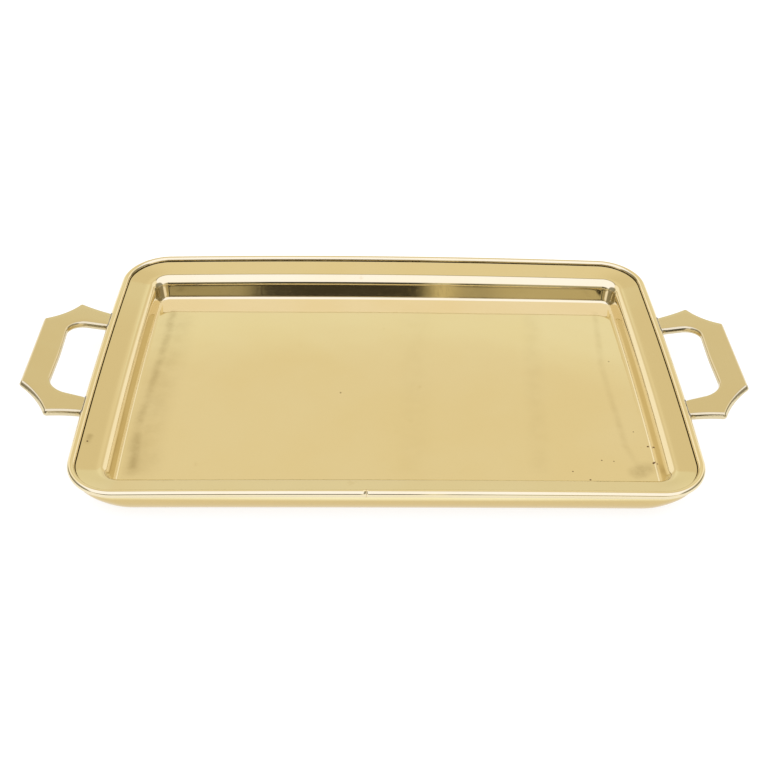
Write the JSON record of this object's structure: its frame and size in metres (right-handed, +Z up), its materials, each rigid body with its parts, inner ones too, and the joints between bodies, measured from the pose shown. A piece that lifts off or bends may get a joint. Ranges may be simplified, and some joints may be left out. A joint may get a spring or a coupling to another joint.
{
  "type": "serving tray",
  "caption": "Rectangular polished brass serving tray with a sunken well, sloping flange, round rod rim, rounded under-shell and two flat cast handles rising from the short sides.",
  "frame": {"origin": "centre of the flat base that the tray stands on", "axes": "+X along the tray's length, towards the right handle; +Y across the tray, towards its back long side; +Z up, out of the well"},
  "size_m": [0.612, 0.3408, 0.044],
  "materials": {
    "brass_pan": "polished",
    "brass_shell": "polished",
    "brass_rod": "polished",
    "brass_cast": "satin polished",
    "braze": "brazing brass dressed flush with the rod",
    "solder": "dull grey soft solder"
  },
  "bodies": {
    "root": {"tray_pan": "brass_pan", "base_shell": "brass_shell", "rim_rod": "brass_rod", "rim_rod_braze": "braze", "rim_seam_solder": "solder", "handle_left": "brass_cast", "handle_right": "brass_cast", "solder_left_front": "solder", "solder_left_back": "solder", "solder_right_front": "solder", "solder_right_back": "solder"}
  },
  "joints": []
}
